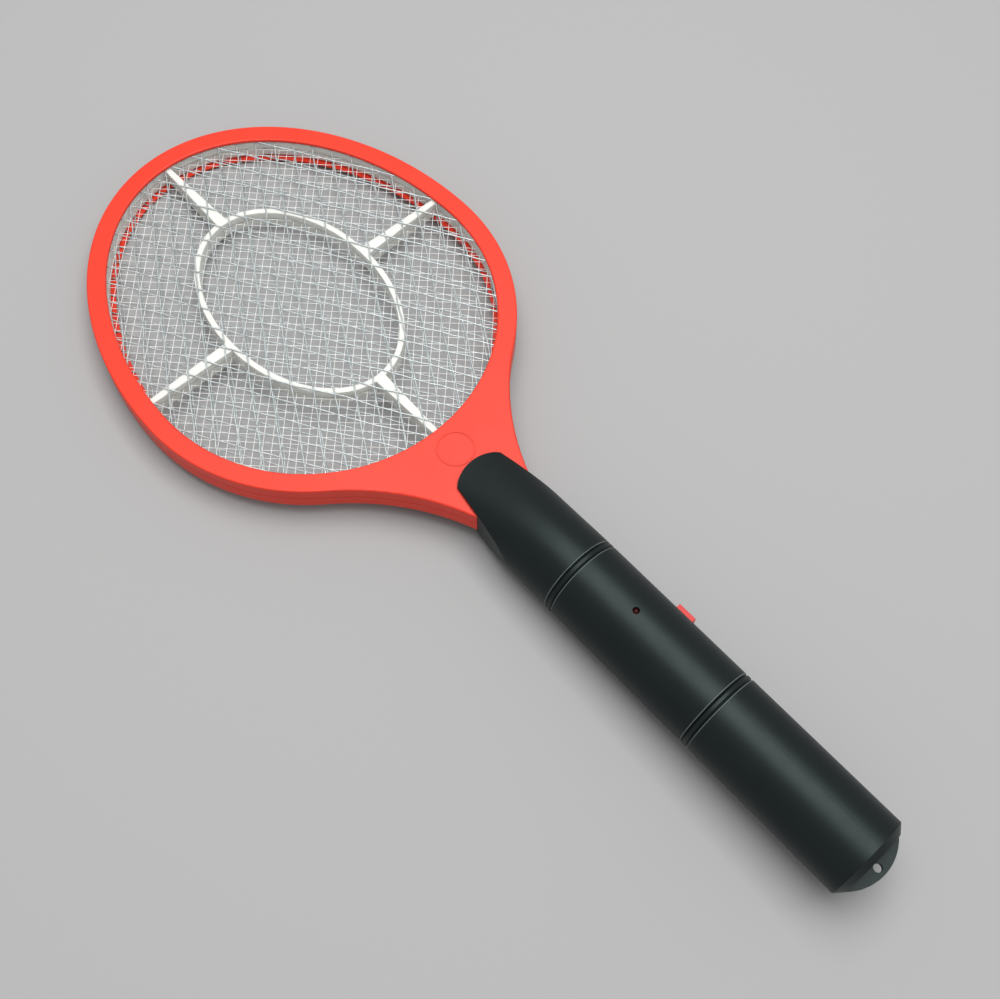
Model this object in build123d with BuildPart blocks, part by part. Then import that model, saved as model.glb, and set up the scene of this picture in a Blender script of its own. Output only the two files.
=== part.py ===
from build123d import *
import os
from math import acos, atan2, cos, degrees, hypot, radians, sin, sqrt

# Electric fly swatter: an oval racket of three wire nets on a round battery handle.
# +X runs along the handle towards its hanging tab, +Z out of the front net, +Y to the button.
# The origin is below the middle of the length, level with the lowest line of the handle.
os.makedirs("parts", exist_ok=True)

# handle
handle_radius = 16.5
handle_wall = 2.2
mid_z = handle_radius
neck_joint_x = 15.5          # the exposed red neck ends here
taper_end_x = 56.0
cover_joint_x = 123.6        # the battery cover starts here
handle_end_x = 195.2
end_chamfer_radial = 3.0
end_chamfer_axial = 2.5
groove_width = 1.1
groove_depth = 0.55
groove_pitch = 2.3
front_groove_x = 57.0

# head
opening_half_width = 72.6
opening_tip_reach = 98.0
oval_x = -94.8
rim_width = 7.7
head_thickness = 11.5
face_thickness = 1.2
rear_lip_extra = 1.6         # the rear opening is this much smaller all round
rim_wall = 2.2
edge_round = 0.6
seam_depth = 0.3              # fine groove along the parting lines
seam_gap = 0.12
flare_radius = 105.0
neck_half_width = 13.3
tab_half_width = 10.5
tab_end_x = 36.0
mark_x = -11.0
mark_radius = 7.5

# nets and spacers
net_thickness = 0.7
net_wire = 0.7
net_pitch = 7.8
net_half_angle = 31.4
net_overlap = 2.8
fine_wire = 0.24
fine_pitch = 3.4
spacer_rib = 2.2
spoke_root = 4.6             # spoke width where it meets the oval ring
spacer_ring_width = 4.0
spacer_gap = 0.4
ring_x = -105.5
ring_half_length = 51.0
ring_half_width = 35.0

# clearances
slip = 0.05                  # parts that slide or are laid in
loose = 0.1                  # moulded pockets

# screws
screw_radius = 1.5
screw_head_radius = 2.8
screw_head_height = 2.0
screw_length = 18.0
boss_radius = 3.3

# circuit board
board_x = (68.0, 112.0)
board_half_width = 12.0
board_thickness = 1.6
board_top = -4.4
board_screw_x = (71.0, 109.0)

# button and switch
button_x = 93.0
button_length = 7.8
button_height = 7.0
button_travel = 1.2
switch_face_y = 10.2
switch_size = 6.0
plunger_radius = 1.5

# indicator
led_x = 82.9
led_radius = 1.2

# batteries, AA size
battery_radius = 7.25
battery_length = 50.5
battery_nub_radius = 2.75
battery_nub_height = 1.0
battery_y = battery_radius + slip
contact_x = 131.0
contact_thickness = 0.4
contact_size = 1.24 * battery_radius
spring_gap = 5.2
spring_wire = 0.35
spring_radius = 3.3
tray_wall = 2.0

# hanging tab
tab_radius = 20.0
tab_reach = 5.3
tab_thickness = 1.6
tab_hole_radius = 1.6
tab_hole_x = handle_end_x + 2.2

# leads
lead_radius = 0.6

half_head = head_thickness / 2
outer_half_width = opening_half_width + rim_width
inner_radius = handle_radius - handle_wall
cover_bore = 2 * battery_radius + 0.25
spigot_radius = cover_bore - slip
spigot_bore = spigot_radius - 1.8
spigot_end_x = cover_joint_x + 5.4
opening_end_x = oval_x + opening_half_width
screw_heads = {27.0: -half_head - 3.25, 62.0: 1.8 - inner_radius, 118.0: 1.8 - inner_radius}
neck_screw_x = min(screw_heads)
net_level = half_head - face_thickness - slip - net_thickness
spacer_base = fine_wire + slip
spacer_height = net_level - slip - spacer_base
lead_level = net_level - slip - lead_radius
hv_leads = {"front": (6.6, lead_level), "middle": (4.2, -fine_wire - 0.01 - lead_radius),
            "rear": (-5.0, -lead_level)}

# The neck flare is an arc tangent to the rim and meeting the handle at the neck joint.
reach = hypot(neck_joint_x - oval_x, neck_half_width)
flare_distance = outer_half_width + flare_radius
swing = acos((reach**2 + flare_distance**2 - flare_radius**2) / (2 * reach * flare_distance))
flare_angle = swing + atan2(neck_half_width, neck_joint_x - oval_x)
flare_x = oval_x + flare_distance * cos(flare_angle)
flare_y = flare_distance * sin(flare_angle)


def oval(grow):
    """Face of the net opening grown all round."""
    width = opening_half_width + grow
    with BuildSketch() as face:
        with BuildLine():
            EllipticalCenterArc((oval_x, 0), opening_tip_reach + grow, width,
                                start_angle=90, arc_size=180)
            CenterArc((oval_x, 0), width, -90, 180)
        make_face()
    return face.sketch


def neck(inset):
    """Face of the flared neck, from inside the oval to the neck joint."""
    radius = flare_radius + inset
    start = flare_angle + radians(180)
    end = radians(180) + acos((flare_x - neck_joint_x) / radius)
    corners = []
    for angle in (start, (start + end) / 2, end):
        corners.append((flare_x + radius * cos(angle), flare_y + radius * sin(angle)))
    mirrored = [(x, -y) for x, y in corners]
    with BuildSketch() as face:
        with BuildLine():
            ThreePointArc(*corners)
            Line(corners[2], mirrored[2])
            ThreePointArc(mirrored[2], mirrored[1], mirrored[0])
            Line(mirrored[0], corners[0])
        make_face()
    return face.sketch


def head_outline(inset, tab_inset):
    """Face of the whole head with its tab, moved inwards by a wall."""
    tab_start = neck_joint_x - 12
    with BuildSketch() as outline:
        add(oval(rim_width - inset))
        add(neck(inset))
        with Locations(((tab_start + tab_end_x) / 2, 0)):
            Rectangle(tab_end_x - tab_start, 2 * (tab_half_width - tab_inset))
    return outline.sketch


def frame_shell(side):
    """Half of the red head frame, on the +Z or -Z side of the parting plane."""
    lip_grow = 0 if side > 0 else -rear_lip_extra
    with BuildPart() as shell:
        with BuildSketch(Plane.XY.offset(mid_z)):
            add(head_outline(0, 0))
            add(oval(lip_grow), mode=Mode.SUBTRACT)
        extrude(amount=side * half_head)
        fillet(shell.faces().sort_by(Axis.Z)[-1 if side > 0 else 0].edges(), edge_round)
        with BuildSketch(Plane.XY.offset(mid_z)):
            add(head_outline(rim_wall, face_thickness))
        extrude(amount=side * (half_head - face_thickness), mode=Mode.SUBTRACT)
        with BuildSketch(Plane.XY.offset(mid_z)):
            with Locations((neck_screw_x, 0)):
                Circle(boss_radius + loose)
        extrude(amount=side * half_head, mode=Mode.SUBTRACT)
        with BuildSketch(Plane.XY.offset(mid_z)):
            add(head_outline(0, 0))
            add(head_outline(seam_depth, seam_depth), mode=Mode.SUBTRACT)
        extrude(amount=side * seam_gap, mode=Mode.SUBTRACT)
    return shell.part


# Red front shell of the head, with a plain raised ring on the neck.
with BuildPart() as front_frame:
    add(frame_shell(1))
    with BuildSketch(Plane.XY.offset(mid_z + half_head)):
        with Locations((mark_x, 0)):
            Circle(mark_radius)
            Circle(mark_radius - 0.6, mode=Mode.SUBTRACT)
    extrude(amount=0.25)
front_frame.part.label = "front_frame"
export_step(front_frame.part, "parts/front_frame.step")

# Red rear shell of the head.
with BuildPart() as rear_frame:
    add(frame_shell(-1))
rear_frame.part.label = "rear_frame"
export_step(rear_frame.part, "parts/rear_frame.step")


def spacer(bottom):
    """Ivory spacer: rim ring, inner oval ring and four spokes."""
    with BuildPart() as frame:
        with BuildSketch(Plane.XY.offset(mid_z + bottom)):
            spokes = {0: (ring_half_length, opening_end_x - ring_x),
                      90: (ring_half_width, opening_half_width),
                      180: (ring_half_length, opening_tip_reach + ring_x - oval_x),
                      270: (ring_half_width, opening_half_width)}
            for angle, (near, far) in spokes.items():
                with Locations(Location((ring_x, 0), angle)):
                    Polygon((0, spoke_root / 2), (near, spoke_root / 2), (far + 1, spacer_rib / 2),
                            (far + 1, -spacer_rib / 2), (near, -spoke_root / 2), (0, -spoke_root / 2),
                            align=None)
            with Locations((ring_x, 0)):
                Ellipse(ring_half_length, ring_half_width)
                Ellipse(ring_half_length - spacer_rib, ring_half_width - spacer_rib,
                        mode=Mode.SUBTRACT)
            add(oval(spacer_gap + 1), mode=Mode.INTERSECT)
            add(oval(spacer_gap + spacer_ring_width) - oval(spacer_gap))
        extrude(amount=spacer_height)
    return frame.part


# Spacer between the middle and front nets.
with BuildPart() as front_spacer:
    add(spacer(spacer_base))
front_spacer.part.label = "front_spacer"
export_step(front_spacer.part, "parts/front_spacer.step")

# Spacer between the middle and rear nets.
with BuildPart() as rear_spacer:
    add(spacer(-spacer_base - spacer_height))
rear_spacer.part.label = "rear_spacer"
export_step(rear_spacer.part, "parts/rear_spacer.step")


def coarse_net(bottom, tag_y):
    """Welded diamond mesh cut to the rim, with a solder tag."""
    steps = int(opening_tip_reach / net_pitch) + 2
    with BuildPart() as net:
        with BuildSketch(Plane.XY.offset(mid_z + bottom)):
            for angle in (-net_half_angle, net_half_angle):
                turned = Location((ring_x, 0), angle)
                with Locations(*[turned * Pos(0, step * net_pitch) for step in range(-steps, steps + 1)]):
                    Rectangle(2 * opening_tip_reach + 34, net_wire)
            add(oval(net_overlap), mode=Mode.INTERSECT)
            with Locations((opening_end_x + 3, tag_y)):
                Rectangle(12, 2)
        extrude(amount=net_thickness)
    return net.part


# Outer net on the front side.
with BuildPart() as front_net:
    add(coarse_net(net_level, hv_leads["front"][0]))
front_net.part.label = "front_net"
export_step(front_net.part, "parts/front_net.step")

# Outer net on the rear side.
with BuildPart() as rear_net:
    add(coarse_net(-net_level - net_thickness, hv_leads["rear"][0]))
rear_net.part.label = "rear_net"
export_step(rear_net.part, "parts/rear_net.step")


def fine_chord(angle, shift):
    """Ends of a straight wire across the grown opening."""
    grow = net_overlap
    dx, dy = cos(radians(angle)), sin(radians(angle))
    px, py = ring_x - shift * dy, shift * dx
    ends = []
    for way in (-1, 1):
        low, high = 0.0, 200.0
        for _ in range(40):
            middle = (low + high) / 2
            x, y = px + way * middle * dx - oval_x, py + way * middle * dy
            reach_x = opening_tip_reach + grow if x < 0 else opening_half_width + grow
            inside = (x / reach_x) ** 2 + (y / (opening_half_width + grow)) ** 2 < 1
            low, high = (middle, high) if inside else (low, middle)
        ends.append((px + way * low * dx, py + way * low * dy))
    return ends


# Fine charged net in the middle: two layers of thin wire laid across each other.
fine_steps = int(opening_tip_reach / fine_pitch)
with BuildPart() as middle_net:
    for layer, angle in ((-1, -45), (1, 45)):
        for step in range(-fine_steps, fine_steps + 1):
            (x1, y1), (x2, y2) = fine_chord(angle, step * fine_pitch)
            length = hypot(x2 - x1, y2 - y1)
            if length > 12:
                centre = Pos((x1 + x2) / 2, (y1 + y2) / 2, mid_z + layer * (fine_wire / 2 + 0.005))
                with Locations(centre * Rot(0, 0, angle) * Rot(0, 90, 0)):
                    Cylinder(fine_wire / 2, length)
    with Locations((opening_end_x + 9.2, hv_leads["middle"][0], mid_z)):
        Box(12, 2, 2 * fine_wire)
middle_net.part.label = "middle_net"
export_step(middle_net.part, "parts/middle_net.step")


def handle_half(side):
    """Half of the handle moulding on the +Z or -Z side of the parting plane."""
    tip_y, shoulder_y, side_y = handle_radius - 7.1, handle_radius - 5.6, handle_radius + 0.3
    with BuildPart() as half:
        # Tapered front with a tongue that lies over the neck, cut to its plan outline.
        for x, half_width, half_height in (
                (-6, handle_radius + 2.5, half_head + 1.85), (12, handle_radius + 0.5, half_head + 5.15),
                (34, handle_radius - 0.2, handle_radius - 1.5), (taper_end_x, handle_radius, handle_radius)):
            with BuildSketch(Plane.YZ.offset(x)):
                with Locations((0, mid_z)):
                    Ellipse(half_width, half_height)
        loft()
        with BuildSketch(Plane.XY) as plan:
            with BuildLine():
                ThreePointArc((0.6, -tip_y), (-2.2, 0), (0.6, tip_y))
                Line((0.6, tip_y), (2.0, shoulder_y))
                Line((2.0, shoulder_y), (37, side_y))
                Line((37, side_y), (taper_end_x, side_y))
                Line((taper_end_x, side_y), (taper_end_x, -side_y))
                Line((taper_end_x, -side_y), (37, -side_y))
                Line((37, -side_y), (2.0, -shoulder_y))
                Line((2.0, -shoulder_y), (0.6, -tip_y))
            make_face()
        extrude(amount=2 * handle_radius, mode=Mode.INTERSECT)
        # Straight round body and the spigot that carries the battery cover.
        with BuildSketch(Plane.YZ.offset(taper_end_x)):
            with Locations((0, mid_z)):
                Circle(handle_radius)
        extrude(amount=cover_joint_x - taper_end_x)
        with BuildSketch(Plane.YZ.offset(cover_joint_x)):
            with Locations((0, mid_z)):
                Circle(spigot_radius)
        extrude(amount=spigot_end_x - cover_joint_x)
        # Hollow inside, open through the spigot.
        with BuildSketch(Plane.YZ.offset(tab_end_x + 4)):
            with Locations((0, mid_z)):
                Circle(inner_radius - 1.2)
        extrude(amount=121 - tab_end_x - 4, mode=Mode.SUBTRACT)
        with BuildSketch(Plane.YZ.offset(50)):
            with Locations((0, mid_z)):
                Circle(inner_radius)
        extrude(amount=121 - 50, mode=Mode.SUBTRACT)
        with BuildSketch(Plane.YZ.offset(121)):
            with Locations((0, mid_z)):
                Circle(spigot_bore)
        extrude(amount=spigot_end_x - 121, mode=Mode.SUBTRACT)
        # Pocket for the neck and its tab, then the passage for the leads.
        depth = head_thickness + 2 * slip
        with Locations((neck_joint_x / 2 - 6, 0, mid_z)):
            Box(neck_joint_x + 12 + 2 * loose, 2 * handle_radius + 8, depth, mode=Mode.SUBTRACT)
        with Locations(((neck_joint_x + tab_end_x) / 2, 0, mid_z)):
            Box(tab_end_x - neck_joint_x + 2 * loose, 2 * (tab_half_width + loose), depth,
                mode=Mode.SUBTRACT)
        with Locations((tab_end_x + 3, 0, mid_z)):
            Box(8, 17, 2 * (net_level + 0.3), mode=Mode.SUBTRACT)
        # Double groove round the handle, and half of the groove at the cover.
        for x in (front_groove_x - groove_pitch / 2, front_groove_x + groove_pitch / 2, cover_joint_x):
            with BuildSketch(Plane.XZ):
                with BuildLine():
                    Polyline((x - groove_width / 2, mid_z + handle_radius + 0.01),
                             (x, mid_z + handle_radius - groove_depth),
                             (x + groove_width / 2, mid_z + handle_radius + 0.01), close=True)
                make_face()
            revolve(axis=Axis((0, 0, mid_z), (1, 0, 0)), mode=Mode.SUBTRACT)
        # Fine groove along the parting line of the straight body.
        with Locations(*[((taper_end_x + cover_joint_x) / 2, y, mid_z)
                         for y in (seam_depth / 2 - handle_radius, handle_radius - seam_depth / 2)]):
            Box(cover_joint_x - taper_end_x, seam_depth, 2 * seam_gap, mode=Mode.SUBTRACT)
        # Window for the button.
        with Locations((button_x, handle_radius - 2, mid_z)):
            Box(button_length + 2 * loose, 10, button_height + 2 * loose, mode=Mode.SUBTRACT)
        # Keep one side of the parting plane.
        with Locations(((spigot_end_x - 10) / 2, 0, mid_z + side * (handle_radius + 4) / 2)):
            Box(spigot_end_x + 14, 2 * handle_radius + 8, handle_radius + 4, mode=Mode.INTERSECT)
    return half.part


def screw_boss(x, start, end):
    """Round post around a screw, on the handle centre line."""
    with Locations((x, 0, mid_z + (start + end) / 2)):
        Cylinder(boss_radius, end - start)


def screw_hole(x, start, end, radius):
    """Round hole on the handle centre line."""
    with Locations((x, 0, mid_z + (start + end) / 2)):
        Cylinder(radius, end - start, mode=Mode.SUBTRACT)


# Front half of the handle: screw posts and the hole for the indicator.
with BuildPart() as handle_front:
    add(handle_half(1))
    for x, head_z in screw_heads.items():
        top = inner_radius + 0.6 if x > tab_end_x else half_head + 0.6
        screw_boss(x, 0 if x > tab_end_x else -half_head, top)
        screw_hole(x, -half_head - 1, head_z + screw_length + 0.3, screw_radius + slip)
    screw_hole(led_x, 10, handle_radius + 1, led_radius + loose)
handle_front.part.label = "handle_front"
export_step(handle_front.part, "parts/handle_front.step")

# Rear half of the handle: counterbored screw posts and board posts.
with BuildPart() as handle_rear:
    add(handle_half(-1))
    for x, head_z in screw_heads.items():
        if x > tab_end_x:
            screw_boss(x, -inner_radius - 0.6, -loose)
        screw_hole(x, -handle_radius - 1, head_z, screw_head_radius + 0.2)
        screw_hole(x, head_z - 0.1, 0.1, screw_radius + slip)
    for x in board_screw_x:
        with BuildSketch(Plane.XY.offset(mid_z - inner_radius - 0.4)):
            with Locations((x, 0)):
                Circle(2.4)
        extrude(amount=inner_radius + 0.4 + board_top - board_thickness)
        screw_hole(x, 1.1 - inner_radius, board_top - board_thickness + 1, 1.0 + slip)
handle_rear.part.label = "handle_rear"
export_step(handle_rear.part, "parts/handle_rear.step")

# Cross-head screws that close the handle.
with BuildPart() as handle_screws:
    for x, head_z in screw_heads.items():
        with BuildSketch(Plane.XY.offset(mid_z + head_z - screw_head_height)):
            with Locations((x, 0)):
                Circle(screw_head_radius)
        extrude(amount=screw_head_height)
        with BuildSketch(Plane.XY.offset(mid_z + head_z)):
            with Locations((x, 0)):
                Circle(screw_radius)
        extrude(amount=screw_length)
        with BuildSketch(Plane.XY.offset(mid_z + head_z - screw_head_height)):
            with Locations((x, 0)):
                Rectangle(3.4, 0.8)
                Rectangle(0.8, 3.4)
        extrude(amount=1.1, mode=Mode.SUBTRACT)
handle_screws.part.label = "handle_screws"
export_step(handle_screws.part, "parts/handle_screws.step")

# Battery cover: the closed end of the handle, with the hanging tab.
with BuildPart() as battery_cover:
    with BuildSketch(Plane.XZ):
        with BuildLine():
            Polyline((cover_joint_x, mid_z + cover_bore),
                     (cover_joint_x, mid_z + handle_radius - groove_depth),
                     (cover_joint_x + groove_width / 2, mid_z + handle_radius),
                     (cover_joint_x + groove_pitch - groove_width / 2, mid_z + handle_radius),
                     (cover_joint_x + groove_pitch, mid_z + handle_radius - groove_depth),
                     (cover_joint_x + groove_pitch + groove_width / 2, mid_z + handle_radius),
                     (handle_end_x - end_chamfer_axial, mid_z + handle_radius),
                     (handle_end_x, mid_z + handle_radius - end_chamfer_radial),
                     (handle_end_x, mid_z),
                     (handle_end_x - 4.2, mid_z),
                     (handle_end_x - 4.2, mid_z + cover_bore), close=True)
        make_face()
    revolve(axis=Axis((0, 0, mid_z), (1, 0, 0)))
    with BuildSketch(Plane.XY.offset(mid_z - tab_thickness / 2)):
        with Locations((handle_end_x + tab_reach - tab_radius, 0)):
            Circle(tab_radius)
        with Locations((handle_end_x - 40, 0)):
            Rectangle(76, 40, mode=Mode.SUBTRACT)
        with Locations((tab_hole_x, 0)):
            Circle(tab_hole_radius, mode=Mode.SUBTRACT)
    extrude(amount=tab_thickness)
battery_cover.part.label = "battery_cover"
export_step(battery_cover.part, "parts/battery_cover.step")

# Battery tray: a plug held by the handle halves, a cradle and two end walls.
tray_end_x = contact_x + 2 * contact_thickness + battery_length + spring_gap + tray_wall
with BuildPart() as battery_tray:
    with BuildSketch(Plane.YZ.offset(spigot_end_x - 3.5)):
        with Locations((0, mid_z)):
            Circle(spigot_bore - loose)
    extrude(amount=contact_x - spigot_end_x + 3.5)
    with BuildSketch(Plane.YZ.offset(spigot_end_x + loose)):
        with Locations((0, mid_z)):
            Circle(cover_bore - loose)
    extrude(amount=tray_end_x - spigot_end_x - loose)
    # Cradle grooves, and the open top over the batteries.
    with BuildSketch(Plane.YZ.offset(contact_x)):
        for y in (-battery_y, battery_y):
            with Locations((y, mid_z)):
                Circle(battery_radius + loose)
        with Locations((0, mid_z - 4 + 10)):
            Rectangle(40, 20)
    extrude(amount=tray_end_x - tray_wall - contact_x, mode=Mode.SUBTRACT)
    with Locations(((tray_end_x + contact_x) / 2, 0, mid_z + 8 + 5)):
        Box(tray_end_x - spigot_end_x + 40, 40, 10, mode=Mode.SUBTRACT)
    with Locations((contact_x - 3, -battery_y, mid_z), (contact_x - 3, battery_y, mid_z)):
        Cylinder(0.85, 12, rotation=(0, 90, 0), mode=Mode.SUBTRACT)
battery_tray.part.label = "battery_tray"
export_step(battery_tray.part, "parts/battery_tray.step")

# Front contact plates, each with a stem through the tray.
for name, y in (("positive_contact", battery_y), ("negative_contact", -battery_y)):
    with BuildPart() as contact:
        with Locations((contact_x + contact_thickness / 2, y, mid_z)):
            Box(contact_thickness, contact_size, contact_size)
        with Locations((contact_x - 2.9, y, mid_z)):
            Cylinder(0.8, 5.8, rotation=(0, 90, 0))
    contact.part.label = name
    export_step(contact.part, "parts/" + name + ".step")

# Rear contact plate that joins the two batteries.
rear_plate_x = tray_end_x - tray_wall - contact_thickness
with BuildPart() as bridge_contact:
    with Locations((rear_plate_x + contact_thickness / 2, 0, mid_z)):
        Box(contact_thickness, 2 * battery_y + contact_size, 7.6)
bridge_contact.part.label = "bridge_contact"
export_step(bridge_contact.part, "parts/bridge_contact.step")


def contact_spring(x, y):
    """Coil that presses on the flat end of a battery."""
    height = spring_gap - 2 * spring_wire - 2 * slip
    with BuildPart() as spring:
        coil = Helix(pitch=height / 3.5, height=height, radius=spring_radius,
                     center=(x + spring_wire + slip, y, mid_z), direction=(1, 0, 0))
        with BuildSketch(Plane(origin=coil @ 0, z_dir=coil % 0)):
            Circle(spring_wire)
        sweep(path=coil, is_frenet=True)
    return spring.part


# Spring on the front plate, against the second battery.
with BuildPart() as front_spring:
    add(contact_spring(contact_x + contact_thickness, -battery_y))
front_spring.part.label = "front_spring"
export_step(front_spring.part, "parts/front_spring.step")

# Spring on the bridge plate, against the first battery.
with BuildPart() as rear_spring:
    add(contact_spring(rear_plate_x - spring_gap, battery_y))
rear_spring.part.label = "rear_spring"
export_step(rear_spring.part, "parts/rear_spring.step")


def battery(nub_x, y, way):
    """AA cell whose nub points along -X (way 1) or +X (way -1)."""
    with BuildPart() as cell:
        with BuildSketch(Plane.XZ.offset(-y)):
            with BuildLine():
                Polyline((nub_x, mid_z), (nub_x, mid_z + battery_nub_radius),
                         (nub_x + way * battery_nub_height, mid_z + battery_nub_radius),
                         (nub_x + way * battery_nub_height, mid_z + battery_radius - 0.5),
                         (nub_x + way * (battery_nub_height + 0.5), mid_z + battery_radius),
                         (nub_x + way * (battery_length - 0.5), mid_z + battery_radius),
                         (nub_x + way * battery_length, mid_z + battery_radius - 0.5),
                         (nub_x + way * battery_length, mid_z), close=True)
            make_face()
        revolve(axis=Axis((0, y, mid_z), (1, 0, 0)))
    return cell.part


# First AA battery, nub towards the head.
with BuildPart() as battery_1:
    add(battery(contact_x + contact_thickness + slip, battery_y, 1))
battery_1.part.label = "battery_1"
export_step(battery_1.part, "parts/battery_1.step")

# Second AA battery, nub towards the butt.
with BuildPart() as battery_2:
    add(battery(rear_plate_x - slip, -battery_y, -1))
battery_2.part.label = "battery_2"
export_step(battery_2.part, "parts/battery_2.step")

# Circuit board.
board_bottom = board_top - board_thickness
with BuildPart() as circuit_board:
    with BuildSketch(Plane.XY.offset(mid_z + board_bottom)):
        with Locations(((board_x[0] + board_x[1]) / 2, 0)):
            Rectangle(board_x[1] - board_x[0], 2 * board_half_width)
        with Locations(*[(x, 0) for x in board_screw_x]):
            Circle(1.2, mode=Mode.SUBTRACT)
    extrude(amount=board_thickness)
circuit_board.part.label = "circuit_board"
export_step(circuit_board.part, "parts/circuit_board.step")

# Two small screws that hold the board.
with BuildPart() as board_screws:
    for x in board_screw_x:
        with BuildSketch(Plane.XY.offset(mid_z + board_top)):
            with Locations((x, 0)):
                Circle(1.9)
        extrude(amount=1.2)
        with BuildSketch(Plane.XY.offset(mid_z + board_top - 7)):
            with Locations((x, 0)):
                Circle(1.0)
        extrude(amount=7)
board_screws.part.label = "board_screws"
export_step(board_screws.part, "parts/board_screws.step")

# Step-up transformer: ferrite core in two E halves with a wound bobbin between.
core_x, core_y = 100.0, -4.6
with BuildPart() as transformer_core:
    with Locations((core_x, core_y, mid_z + board_top + 5)):
        Box(12, 10, 10)
        Box(6.6, 10.2, 8, mode=Mode.SUBTRACT)
        Box(7.2, 3.4, 3.4)
transformer_core.part.label = "transformer_core"
export_step(transformer_core.part, "parts/transformer_core.step")

with BuildPart() as transformer_winding:
    with Locations((core_x, core_y, mid_z + board_top + 5)):
        Box(6.4, 9.0, 7.4)
        Box(6.6, 3.6, 3.6, mode=Mode.SUBTRACT)
transformer_winding.part.label = "transformer_winding"
export_step(transformer_winding.part, "parts/transformer_winding.step")

# Oscillator transistor: D-shaped body on three legs.
with BuildPart() as transistor:
    with BuildSketch(Plane.XY.offset(mid_z + board_top + 3)):
        with Locations((100.5, 8.4)):
            Circle(2.3)
        with Locations((100.5, 8.4 + 2.3)):
            Rectangle(6, 2.4, mode=Mode.SUBTRACT)
    extrude(amount=4.6)
    with Locations(*[(100.5 + step, 8.0, mid_z + board_top + 1.5) for step in (-1.27, 0, 1.27)]):
        Box(0.5, 0.5, 3)
transistor.part.label = "transistor"
export_step(transistor.part, "parts/transistor.step")

# High-voltage storage capacitor.
with BuildPart() as storage_capacitor:
    with Locations((80, -7.6, mid_z + board_top + 0.6 + 4.7)):
        Box(14, 5.2, 9.4)
    with Locations((75, -7.6, mid_z + board_top + 0.3), (85, -7.6, mid_z + board_top + 0.3)):
        Box(0.6, 0.6, 0.6)
storage_capacitor.part.label = "storage_capacitor"
export_step(storage_capacitor.part, "parts/storage_capacitor.step")

# Two disc capacitors of the voltage multiplier.
with BuildPart() as multiplier_capacitors:
    for y in (4.8, 8.8):
        with Locations((76.2, y, mid_z + board_top + 4.4)):
            Cylinder(2.9, 2.2, rotation=(90, 0, 0))
        with Locations((75, y, mid_z + board_top + 1.1), (77.4, y, mid_z + board_top + 1.1)):
            Box(0.5, 0.5, 2.2)
multiplier_capacitors.part.label = "multiplier_capacitors"
export_step(multiplier_capacitors.part, "parts/multiplier_capacitors.step")


def axial_part(x, y, radius, length, span):
    """Component lying on the board with a leg down at each end."""
    height = board_top + radius + 0.2
    with Locations((x, y, mid_z + height)):
        Cylinder(radius, length, rotation=(0, 90, 0))
        Cylinder(0.25, span, rotation=(0, 90, 0))
    for end in (-span / 2 + 0.25, span / 2 - 0.25):
        with Locations((x + end, y, mid_z + (board_top + height) / 2)):
            Box(0.5, 0.5, height - board_top)


# Three diodes of the voltage multiplier.
with BuildPart() as multiplier_diodes:
    for y in (4.2, 7.0, 9.8):
        axial_part(84.4, y, 1.1, 4.4, 8.0)
multiplier_diodes.part.label = "multiplier_diodes"
export_step(multiplier_diodes.part, "parts/multiplier_diodes.step")

# Two resistors.
with BuildPart() as resistors:
    for y in (4.4, 7.4):
        axial_part(107.2, y, 1.1, 4.4, 7.4)
resistors.part.label = "resistors"
export_step(resistors.part, "parts/resistors.step")

# Red indicator lamp, its dome just below the handle surface.
led_top = handle_radius - 0.2
with BuildPart() as indicator_led:
    with BuildSketch(Plane.XZ):
        with BuildLine():
            Line((led_x, mid_z + led_top), (led_x, mid_z + led_top - 5.0))
            Line((led_x, mid_z + led_top - 5.0), (led_x + 1.9, mid_z + led_top - 5.0))
            Line((led_x + 1.9, mid_z + led_top - 5.0), (led_x + 1.9, mid_z + led_top - 4.0))
            Line((led_x + 1.9, mid_z + led_top - 4.0), (led_x + led_radius, mid_z + led_top - 4.0))
            Line((led_x + led_radius, mid_z + led_top - 4.0),
                 (led_x + led_radius, mid_z + led_top - led_radius))
            RadiusArc((led_x + led_radius, mid_z + led_top - led_radius),
                      (led_x, mid_z + led_top), -led_radius)
        make_face()
    revolve(axis=Axis((led_x, 0, 0), (0, 0, 1)))
indicator_led.part.label = "indicator_led"
export_step(indicator_led.part, "parts/indicator_led.step")

# Legs of the lamp, down to the board.
with BuildPart() as led_legs:
    leg_length = led_top - 5.0 - board_top
    with Locations((led_x, -1.27, mid_z + board_top + leg_length / 2),
                   (led_x, 1.27, mid_z + board_top + leg_length / 2)):
        Box(0.5, 0.5, leg_length)
led_legs.part.label = "led_legs"
export_step(led_legs.part, "parts/led_legs.step")

# Push switch on the board, facing the button.
with BuildPart() as switch_body:
    with Locations((button_x, switch_face_y - 3, mid_z + (board_top + 3.0) / 2)):
        Box(switch_size, 6, 3.0 - board_top)
    with Locations((button_x, switch_face_y - 1.6, mid_z)):
        Cylinder(plunger_radius + slip, 3.2, rotation=(90, 0, 0), mode=Mode.SUBTRACT)
switch_body.part.label = "switch_body"
export_step(switch_body.part, "parts/switch_body.step")

# Plunger of the switch.
plunger_end_y = switch_face_y + button_travel + 0.1
with BuildPart() as switch_plunger:
    with Locations((button_x, plunger_end_y - 1.25, mid_z)):
        Cylinder(plunger_radius, 2.5, rotation=(90, 0, 0))
switch_plunger.part.label = "switch_plunger"
export_step(switch_plunger.part, "parts/switch_plunger.step")

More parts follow.
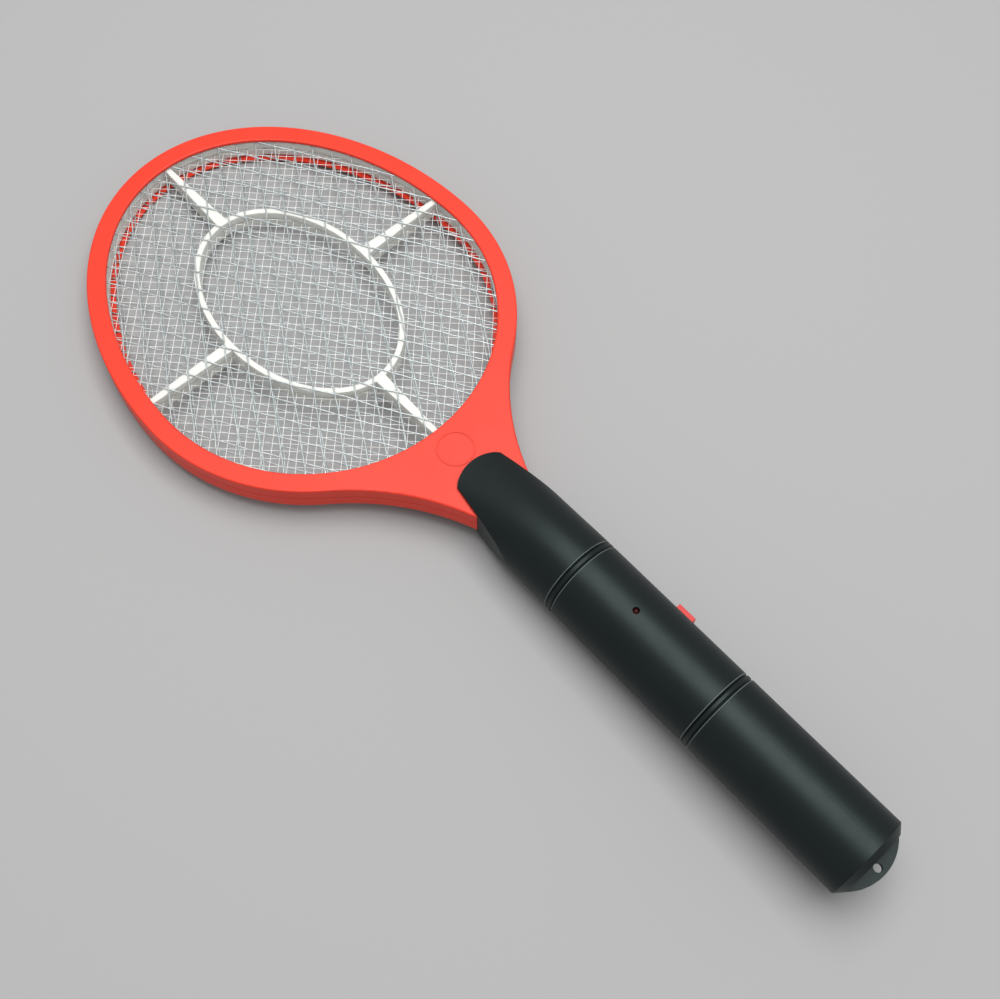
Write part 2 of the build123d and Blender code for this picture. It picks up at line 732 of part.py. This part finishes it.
# Red push button: cap, retaining flange and a nub on the plunger.
flange_y = inner_radius - 1.0
button_reach = handle_radius + 1.6
with BuildPart() as push_button:
    with Locations((button_x, (flange_y + button_reach) / 2, mid_z)):
        Box(button_length, button_reach - flange_y, button_height)
    with Locations((button_x, flange_y - 0.6, mid_z)):
        Box(button_length + 1.5, 1.2, button_height + 1.2)
    with Locations((button_x, (plunger_end_y + slip + flange_y - 1.2) / 2, mid_z)):
        Cylinder(1.4, flange_y - 1.2 - plunger_end_y - slip, rotation=(90, 0, 0))
push_button.part.label = "push_button"
export_step(push_button.part, "parts/push_button.step")


def lead(points, bend):
    """Insulated wire along straight runs joined by tangent arcs."""
    with BuildPart() as wire:
        with BuildLine() as path:
            FilletPolyline(*points, radius=bend)
        with BuildSketch(Plane(origin=path.line @ 0, z_dir=path.line % 0)):
            Circle(lead_radius)
        sweep(path=path.line)
    return wire.part


# High-voltage leads from the board to the tag of each net.
for name, (y, z) in hv_leads.items():
    lead_z = mid_z + board_top + lead_radius + slip
    with BuildPart() as hv_lead:
        add(lead([(opening_end_x + 5.5, y, mid_z + z), (46, y, mid_z + z), (61, y, lead_z),
                  (71.6, y, lead_z)], 5.0))
    hv_lead.part.label = name + "_lead"
    export_step(hv_lead.part, "parts/" + name + "_lead.step")

# Battery leads from the contact stems to the board.
for name, way in (("positive_lead", 1), ("negative_lead", -1)):
    lead_z = mid_z + board_top + lead_radius + slip
    with BuildPart() as battery_lead:
        add(lead([(contact_x - 5.9, way * battery_y, mid_z), (121.0, way * battery_y, mid_z),
                  (114.8, way * 10.2, lead_z), (110.0, way * 10.2, lead_z)], 3.0))
    battery_lead.part.label = name
    export_step(battery_lead.part, "parts/" + name + ".step")
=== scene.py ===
import random
from math import cos, pi, radians, sin

import bmesh
import bpy
from mathutils import Matrix, Vector


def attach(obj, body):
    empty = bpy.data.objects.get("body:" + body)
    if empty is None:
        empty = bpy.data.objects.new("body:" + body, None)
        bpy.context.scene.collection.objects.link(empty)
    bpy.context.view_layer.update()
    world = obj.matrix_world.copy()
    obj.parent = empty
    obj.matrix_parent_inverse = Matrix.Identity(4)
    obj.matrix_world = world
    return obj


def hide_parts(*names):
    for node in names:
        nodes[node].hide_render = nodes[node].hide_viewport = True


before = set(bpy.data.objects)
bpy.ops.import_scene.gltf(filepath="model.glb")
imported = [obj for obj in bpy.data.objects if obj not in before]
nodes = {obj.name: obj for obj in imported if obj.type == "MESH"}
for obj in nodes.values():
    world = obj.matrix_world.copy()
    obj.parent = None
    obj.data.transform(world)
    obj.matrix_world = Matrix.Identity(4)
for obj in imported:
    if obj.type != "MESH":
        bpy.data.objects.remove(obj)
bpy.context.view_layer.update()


# Head shells. Two red injection-moulded plastic rings, one over and one under the nets,
# pressed together along a fine parting line and drawn out into the neck.
red_shell_colour = (0.68, 0.037, 0.016, 1)


def moulded_plastic(name, colour, shade, roughness, grain, grain_depth, gloss=0.5):
    """Moulded plastic: faint mottling, uneven sheen and a fine spark-eroded grain."""
    material = bpy.data.materials.new(name)
    material.use_nodes = True
    tree = material.node_tree
    shader = tree.nodes["Principled BSDF"]
    shader.inputs["Specular IOR Level"].default_value = gloss
    place = tree.nodes.new("ShaderNodeTexCoord")

    mottle = tree.nodes.new("ShaderNodeTexNoise")
    mottle.inputs["Scale"].default_value = 45
    mottle.inputs["Detail"].default_value = 4
    tree.links.new(place.outputs["Object"], mottle.inputs["Vector"])
    tint = tree.nodes.new("ShaderNodeValToRGB")
    tint.color_ramp.elements[0].position = 0.3
    tint.color_ramp.elements[0].color = shade
    tint.color_ramp.elements[1].position = 0.7
    tint.color_ramp.elements[1].color = colour
    tree.links.new(mottle.outputs["Fac"], tint.inputs["Fac"])
    tree.links.new(tint.outputs["Color"], shader.inputs["Base Color"])

    sheen = tree.nodes.new("ShaderNodeTexNoise")
    sheen.inputs["Scale"].default_value = 160
    sheen.inputs["Detail"].default_value = 6
    tree.links.new(place.outputs["Object"], sheen.inputs["Vector"])
    sheen_range = tree.nodes.new("ShaderNodeMapRange")
    sheen_range.inputs["To Min"].default_value = roughness - 0.05
    sheen_range.inputs["To Max"].default_value = roughness + 0.06
    tree.links.new(sheen.outputs["Fac"], sheen_range.inputs["Value"])
    tree.links.new(sheen_range.outputs["Result"], shader.inputs["Roughness"])

    rounding = tree.nodes.new("ShaderNodeBevel")
    rounding.samples = 4
    rounding.inputs["Radius"].default_value = 0.00025
    pits = tree.nodes.new("ShaderNodeTexNoise")
    pits.inputs["Scale"].default_value = grain
    pits.inputs["Detail"].default_value = 3
    tree.links.new(place.outputs["Object"], pits.inputs["Vector"])
    bump = tree.nodes.new("ShaderNodeBump")
    bump.inputs["Strength"].default_value = 0.35
    bump.inputs["Distance"].default_value = grain_depth
    tree.links.new(rounding.outputs["Normal"], bump.inputs["Normal"])
    tree.links.new(pits.outputs["Fac"], bump.inputs["Height"])
    tree.links.new(bump.outputs["Normal"], shader.inputs["Normal"])
    return material


def finish_node(name, material):
    """Gives a CAD piece its finish."""
    slots = nodes[name].material_slots
    for index in range(len(slots)):
        slots[index].material = material


red_shell = moulded_plastic("red_shell_plastic", red_shell_colour, (0.64, 0.033, 0.013, 1),
                            roughness=0.42, grain=2600, grain_depth=0.00002, gloss=0.3)
for name in ("front_frame", "rear_frame"):
    finish_node(name, red_shell)


# Spacers. Two ivory moulded frames, a rim ring with an inner oval ring and four spokes,
# that hold the charged net clear of the outer nets.
ivory = moulded_plastic("ivory_spacer_plastic", (0.69, 0.69, 0.655, 1), (0.65, 0.65, 0.61, 1),
                        roughness=0.5, grain=1800, grain_depth=0.00002)
ivory_shader = ivory.node_tree.nodes["Principled BSDF"]
ivory_shader.inputs["Subsurface Weight"].default_value = 0.6
ivory_shader.inputs["Subsurface Scale"].default_value = 0.003
ivory_shader.inputs["Subsurface Radius"].default_value = (1, 1, 1)
for name in ("front_spacer", "rear_spacer"):
    finish_node(name, ivory)


# Outer nets. Coarse galvanised wire in a diamond mesh, welded where it crosses, cut to the
# rim and clamped under the lips of the shells. The hand-laid wires wander a little.
oval_centre = Vector((-0.0948, 0, 0))
oval_tip = 0.098
oval_side = 0.0726
clamped = 0.0026             # the wires run this far under the lips
lattice_centre = Vector((-0.1055, 0, 0))
mid_height = 0.0165          # the charged net lies at this level
lattice_reach = 0.13         # wires are laid out this far each way, then cut to the oval
longest_wire = 0.22
shortest_wire = 0.004
halvings = 30                # steps in finding where a wire meets the edge
drift_kept = 0.75            # part of each sideways wander that carries on along the wire


def bright_wire(name, colour, shade, metallic, roughness):
    """Drawn wire with fine die lines, dull zinc patches and a soft gleam."""
    material = bpy.data.materials.new(name)
    material.use_nodes = True
    tree = material.node_tree
    shader = tree.nodes["Principled BSDF"]
    shader.inputs["Metallic"].default_value = metallic
    place = tree.nodes.new("ShaderNodeTexCoord")
    patches = tree.nodes.new("ShaderNodeTexNoise")
    patches.inputs["Scale"].default_value = 700
    patches.inputs["Detail"].default_value = 5
    tree.links.new(place.outputs["Object"], patches.inputs["Vector"])
    tint = tree.nodes.new("ShaderNodeValToRGB")
    tint.color_ramp.elements[0].position = 0.35
    tint.color_ramp.elements[0].color = shade
    tint.color_ramp.elements[1].position = 0.65
    tint.color_ramp.elements[1].color = colour
    tree.links.new(patches.outputs["Fac"], tint.inputs["Fac"])
    tree.links.new(tint.outputs["Color"], shader.inputs["Base Color"])
    gleam = tree.nodes.new("ShaderNodeMapRange")
    gleam.inputs["To Min"].default_value = roughness - 0.08
    gleam.inputs["To Max"].default_value = roughness + 0.1
    tree.links.new(patches.outputs["Fac"], gleam.inputs["Value"])
    tree.links.new(gleam.outputs["Result"], shader.inputs["Roughness"])
    bump = tree.nodes.new("ShaderNodeBump")
    bump.inputs["Strength"].default_value = 0.3
    bump.inputs["Distance"].default_value = 0.00002
    tree.links.new(patches.outputs["Fac"], bump.inputs["Height"])
    tree.links.new(bump.outputs["Normal"], shader.inputs["Normal"])
    return material


def chord_ends(start, along):
    """Where a straight wire through start crosses the edge of the oval, both ways."""
    ends = []
    for way in (-1, 1):
        low, high = 0.0, longest_wire
        for _ in range(halvings):
            middle = (low + high) / 2
            point = start + along * way * middle - oval_centre
            length = (oval_tip if point.x < 0 else oval_side) + clamped
            if (point.x / length) ** 2 + (point.y / (oval_side + clamped)) ** 2 < 1:
                low = middle
            else:
                high = middle
        ends.append(way * low)
    return ends


def lay_wire(mesh, points, radius, sides):
    """Round wire with closed ends along a run of points."""
    rings = []
    for index, point in enumerate(points):
        before = points[max(index - 1, 0)]
        after = points[min(index + 1, len(points) - 1)]
        along = (after - before).normalized()
        across = along.cross(Vector((0, 0, 1))).normalized()
        up = across.cross(along)
        ring = []
        for side in range(sides):
            angle = 2 * pi * side / sides
            ring.append(mesh.verts.new(point + radius * (across * cos(angle) + up * sin(angle))))
        rings.append(ring)
    for first, second in zip(rings, rings[1:]):
        for side in range(sides):
            other = (side + 1) % sides
            face = mesh.faces.new((first[side], first[other], second[other], second[side]))
            face.smooth = True
    mesh.faces.new(rings[0][::-1])
    mesh.faces.new(rings[-1])


def make_net(name, height, angle, pitch, radius, sides, step, wander, lift, seed):
    """Two sets of parallel wires at angle either side of the racket's axis."""
    chance = random.Random(seed)
    mesh = bmesh.new()
    for turn in (-angle, angle):
        along = Vector((cos(radians(turn)), sin(radians(turn)), 0))
        across = Vector((-along.y, along.x, 0))
        count = int(lattice_reach / pitch)
        for index in range(-count, count + 1):
            start = lattice_centre + across * index * pitch
            low, high = chord_ends(start, along)
            if high - low < shortest_wire:
                continue
            parts = max(2, int((high - low) / step))
            points = []
            drift = 0.0
            for part in range(parts + 1):
                drift = drift_kept * drift + chance.uniform(-wander, wander)
                reach = low + (high - low) * part / parts
                level = mid_height + height + (lift if turn > 0 else -lift)
                points.append(start + along * reach + across * drift + Vector((0, 0, level)))
            lay_wire(mesh, points, radius, sides)
    data = bpy.data.meshes.new(name)
    mesh.to_mesh(data)
    mesh.free()
    net = bpy.data.objects.new(name, data)
    bpy.context.scene.collection.objects.link(net)
    return net


net_wire = bright_wire("galvanised_wire", (0.60, 0.64, 0.64, 1), (0.40, 0.44, 0.45, 1),
                       metallic=0.75, roughness=0.4)
net_offset = 0.00415
for name, height, seed in (("front_net", net_offset, 3), ("rear_net", -net_offset, 8)):
    outer_net = make_net(name + "_wires", height, angle=31.4, pitch=0.0078, radius=0.0003,
                         sides=8, step=0.0039, wander=0.0003, lift=0.00004, seed=seed)
    outer_net.data.materials.append(net_wire)
    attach(outer_net, "racket")
    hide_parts(name)


# Charged net. Fine bright wires between the spacers, laid square across the racket
# and pulled flat by the clamped rim.
fine_wire = bright_wire("fine_wire", (0.95, 0.96, 0.94, 1), (0.90, 0.92, 0.90, 1),
                        metallic=0.0, roughness=0.45)
middle_net = make_net("middle_net_strands", height=0, angle=45, pitch=0.0034, radius=0.0001,
                      sides=6, step=0.0068, wander=0.00014, lift=0.00013, seed=5)
middle_net.data.materials.append(fine_wire)
middle_net.visible_shadow = False      # these wires are shown without their shadow
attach(middle_net, "racket")
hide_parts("middle_net")


# Leads. Plastic-insulated stranded wire from the board to the nets and the batteries,
# laid through the neck and soldered at both ends.
lead_red = moulded_plastic("red_lead_insulation", (0.55, 0.03, 0.03, 1), (0.45, 0.02, 0.02, 1),
                           roughness=0.35, grain=900, grain_depth=0.00002)
lead_black = moulded_plastic("black_lead_insulation", (0.02, 0.02, 0.02, 1),
                             (0.03, 0.03, 0.03, 1), roughness=0.35, grain=900,
                             grain_depth=0.00002)
for name in ("front_lead", "middle_lead", "positive_lead"):
    finish_node(name, lead_red)
for name in ("rear_lead", "negative_lead"):
    finish_node(name, lead_black)


# Handle. Two black moulded halves closed round the neck by screws from the rear, with a
# satin spark-eroded surface, and the pull-off battery cover in the same plastic.
black_plastic = moulded_plastic("black_handle_plastic", (0.0042, 0.0060, 0.0066, 1),
                                (0.0032, 0.0047, 0.0052, 1), roughness=0.42, grain=3200,
                                grain_depth=0.000025, gloss=0.24)
black_tree = black_plastic.node_tree
black_shader = black_tree.nodes["Principled BSDF"]
black_shader.inputs["Specular Tint"].default_value = (0.82, 1.0, 0.98, 1)
# Painted highlight: a paler line is painted along the sharp outer edges of the two double
# grooves, where they catch the light.
black_place = black_tree.nodes.new("ShaderNodeTexCoord")
black_split = black_tree.nodes.new("ShaderNodeSeparateXYZ")
black_tree.links.new(black_place.outputs["Object"], black_split.inputs["Vector"])
highlight_half_width = 0.00013
colour_a, colour_b, colour_out = 6, 7, 2      # colour sockets of the mix node
edge_highlight = None
for edge_x in (0.05525, 0.05875, 0.12300, 0.12650):
    band = black_tree.nodes.new("ShaderNodeMath")
    band.operation = "COMPARE"
    band.inputs[1].default_value = edge_x
    band.inputs[2].default_value = highlight_half_width
    black_tree.links.new(black_split.outputs["X"], band.inputs[0])
    if edge_highlight:
        both = black_tree.nodes.new("ShaderNodeMath")
        both.operation = "ADD"
        black_tree.links.new(edge_highlight.outputs["Value"], both.inputs[0])
        black_tree.links.new(band.outputs["Value"], both.inputs[1])
        edge_highlight = both
    else:
        edge_highlight = band
black_mix = black_tree.nodes.new("ShaderNodeMix")
black_mix.data_type = "RGBA"
# colour of the painted highlight along the groove edges
black_mix.inputs[colour_b].default_value = (0.10, 0.115, 0.115, 1)
black_tree.links.new(edge_highlight.outputs["Value"], black_mix.inputs["Factor"])
black_tint = black_shader.inputs["Base Color"].links[0].from_socket
black_tree.links.new(black_tint, black_mix.inputs[colour_a])
black_tree.links.new(black_mix.outputs[colour_out], black_shader.inputs["Base Color"])
for name in ("handle_front", "handle_rear", "battery_cover", "battery_tray"):
    finish_node(name, black_plastic)


# Screws. Zinc-plated steel. Longer ones are driven from the rear into the posts of the
# handle, and short ones hold the circuit board to its own posts.
zinc = bright_wire("zinc_plate", (0.62, 0.62, 0.60, 1), (0.48, 0.48, 0.47, 1),
                   metallic=1.0, roughness=0.35)
for name in ("handle_screws", "board_screws"):
    finish_node(name, zinc)


# Battery contacts and lamp legs. Nickel-plated steel: pressed plates held at the ends of
# the tray, wound springs on them, and the straight legs of the indicator lamp.
nickel = bright_wire("nickel_plate", (0.78, 0.76, 0.70, 1), (0.66, 0.63, 0.57, 1),
                     metallic=1.0, roughness=0.22)
for name in ("positive_contact", "negative_contact", "bridge_contact", "front_spring",
             "rear_spring", "led_legs"):
    finish_node(name, nickel)


# Batteries. Two AA cells, each a steel can in a printed film sleeve, laid side by side
# and head to tail in the tray between the springs and the plates.
can_length = 0.0505
can_bare, copper_end, stripe_end, tail_stripe, tail_stripe_end, tail_bare = (
    0.035, 0.30, 0.315, 0.90, 0.91, 0.985)    # fractions of the can's length


def battery_skin(name, nub_x, way):
    """Green film with a copper band at the nub end and a bare steel can at both ends."""
    material = moulded_plastic(name, (0.02, 0.10, 0.055, 1), (0.015, 0.08, 0.045, 1),
                               roughness=0.25, grain=1200, grain_depth=0.00001)
    tree = material.node_tree
    shader = tree.nodes["Principled BSDF"]
    place = tree.nodes.new("ShaderNodeTexCoord")
    split = tree.nodes.new("ShaderNodeSeparateXYZ")
    tree.links.new(place.outputs["Object"], split.inputs["Vector"])
    along = tree.nodes.new("ShaderNodeMapRange")
    along.inputs["From Min"].default_value = nub_x
    along.inputs["From Max"].default_value = nub_x + way * can_length
    tree.links.new(split.outputs["X"], along.inputs["Value"])
    bands = tree.nodes.new("ShaderNodeValToRGB")
    bands.color_ramp.interpolation = "CONSTANT"
    steel, copper, gold = (0.62, 0.62, 0.60, 1), (0.50, 0.20, 0.08, 1), (0.72, 0.58, 0.22, 1)
    green = (0.015, 0.085, 0.05, 1)
    bands.color_ramp.elements[0].color = steel
    bands.color_ramp.elements[1].position = can_bare
    bands.color_ramp.elements[1].color = copper
    for position, colour in ((copper_end, gold), (stripe_end, green), (tail_stripe, gold),
                             (tail_stripe_end, green), (tail_bare, steel)):
        bands.color_ramp.elements.new(position).color = colour
    tree.links.new(along.outputs["Result"], bands.inputs["Fac"])
    tree.links.new(bands.outputs["Color"], shader.inputs["Base Color"])
    metal = tree.nodes.new("ShaderNodeValToRGB")
    metal.color_ramp.interpolation = "CONSTANT"
    metal.color_ramp.elements[0].color = (1, 1, 1, 1)
    metal.color_ramp.elements[1].position = can_bare
    metal.color_ramp.elements[1].color = (0.55, 0.55, 0.55, 1)
    for position, level in ((stripe_end, 0.1), (tail_bare, 1.0)):
        metal.color_ramp.elements.new(position).color = (level, level, level, 1)
    tree.links.new(along.outputs["Result"], metal.inputs["Fac"])
    tree.links.new(metal.outputs["Color"], shader.inputs["Metallic"])
    return material


finish_node("battery_1", battery_skin("first_battery_skin", nub_x=0.13145, way=1))
finish_node("battery_2", battery_skin("second_battery_skin", nub_x=0.18705, way=-1))


# Electronics. A brown phenolic board with its step-up transformer, multiplier and switch,
# whose parts are soldered through the board and held up inside the handle.
board = moulded_plastic("phenolic_board", (0.35, 0.19, 0.07, 1), (0.29, 0.15, 0.05, 1),
                        roughness=0.45, grain=900, grain_depth=0.00002)
finish_node("circuit_board", board)
for name, colour, roughness in (
        ("transformer_core", (0.03, 0.03, 0.032, 1), 0.6),
        ("transformer_winding", (0.65, 0.45, 0.10, 1), 0.35),
        ("transistor", (0.015, 0.015, 0.015, 1), 0.5),
        ("storage_capacitor", (0.30, 0.05, 0.02, 1), 0.25),
        ("multiplier_capacitors", (0.05, 0.14, 0.40, 1), 0.3),
        ("multiplier_diodes", (0.015, 0.015, 0.016, 1), 0.4),
        ("resistors", (0.48, 0.36, 0.20, 1), 0.4),
        ("switch_body", (0.02, 0.02, 0.02, 1), 0.5),
        ("switch_plunger", (0.03, 0.03, 0.03, 1), 0.4)):
    shade = tuple(0.8 * part for part in colour[:3]) + (1,)
    finish_node(name, moulded_plastic(name + "_finish", colour, shade, roughness, grain=1500,
                                      grain_depth=0.00002))


# Push button. Red moulded cap that slides in the window in the handle's side and is
# pushed back out by the switch behind it.
button_red = moulded_plastic("button_plastic", (0.56, 0.024, 0.020, 1), (0.50, 0.020, 0.016, 1),
                             roughness=0.38, grain=2600, grain_depth=0.00002, gloss=0.3)
finish_node("push_button", button_red)


# Indicator. A dark red tinted lamp, moulded round its legs, that stands on the board
# and shows in a small hole in the front of the handle.
lens = moulded_plastic("lamp_lens", (0.035, 0.003, 0.003, 1), (0.025, 0.002, 0.002, 1),
                       roughness=0.5, grain=1500, grain_depth=0.00001, gloss=0.15)
finish_node("indicator_led", lens)


# Table. A plain pale surface, leaning by the slope the racket rests at: it touches the
# front end of the handle's straight underside and the far edge of the rear shell.
handle_contact_x, handle_contact_z = 0.0575, -0.00005
head_contact_x, head_contact_z = -0.2000, 0.01070
lean = (head_contact_z - handle_contact_z) / (handle_contact_x - head_contact_x)
table_data = bpy.data.meshes.new("table_top")
span = 8.0
near_z, far_z = handle_contact_z + lean * span, handle_contact_z - lean * span
table_data.from_pydata([(handle_contact_x - span, -span, near_z),
                        (handle_contact_x + span, -span, far_z),
                        (handle_contact_x + span, span, far_z),
                        (handle_contact_x - span, span, near_z)], [], [(0, 1, 2, 3)])
table_top = bpy.data.objects.new("table_top", table_data)
bpy.context.scene.collection.objects.link(table_top)
table_paint = bpy.data.materials.new("table_paint")
table_paint.use_nodes = True
table_shader = table_paint.node_tree.nodes["Principled BSDF"]
table_shader.inputs["Base Color"].default_value = (0.33, 0.33, 0.33, 1)
table_shader.inputs["Roughness"].default_value = 0.9
table_data.materials.append(table_paint)


# Light. One broad soft box overhead gives the soft shadow, and an even white surround
# fills the rest.
def soft_box(name, place, aim, width, depth, power):
    """Square soft box that faces a point."""
    light = bpy.data.lights.new(name, "AREA")
    light.shape = "RECTANGLE"
    light.size = width
    light.size_y = depth
    light.energy = power
    box = bpy.data.objects.new(name, light)
    box.location = place
    box.rotation_euler = (Vector(aim) - Vector(place)).to_track_quat("-Z", "Y").to_euler()
    bpy.context.scene.collection.objects.link(box)


soft_box("overhead_box", (0.0, 0.15, 1.3), (0, 0, 0), width=1.2, depth=1.0, power=21)
surround = bpy.data.worlds.new("surround")
surround.use_nodes = True
surround.node_tree.nodes["Background"].inputs["Color"].default_value = (1.0, 1.0, 1.0, 1)
surround.node_tree.nodes["Background"].inputs["Strength"].default_value = 0.56
bpy.context.scene.world = surround
bpy.context.scene.view_settings.view_transform = "Standard"


# Camera. Close over the racket, looking down across it towards the button side, with the
# handle running away to the lower right.
azimuth, elevation, roll = radians(45.4), radians(63.68), radians(2.12)
distance = 0.4908
focal_over_width = 1.311
aim = Vector((0.01385, -0.00015, mid_height))
back = Vector((sin(azimuth) * cos(elevation), -cos(azimuth) * cos(elevation), sin(elevation)))
right = Vector((cos(azimuth), sin(azimuth), 0))
up = back.cross(right)
turned_right = right * cos(roll) + up * sin(roll)
turned_up = up * cos(roll) - right * sin(roll)
lens_data = bpy.data.cameras.new("camera")
lens_data.sensor_width = 36
lens_data.lens = lens_data.sensor_width * focal_over_width
lens_data.clip_start = 0.01
camera = bpy.data.objects.new("camera", lens_data)
camera.matrix_world = Matrix.Translation(aim + back * distance) @ Matrix(
    (turned_right, turned_up, back)).transposed().to_4x4()
bpy.context.scene.collection.objects.link(camera)
bpy.context.scene.camera = camera
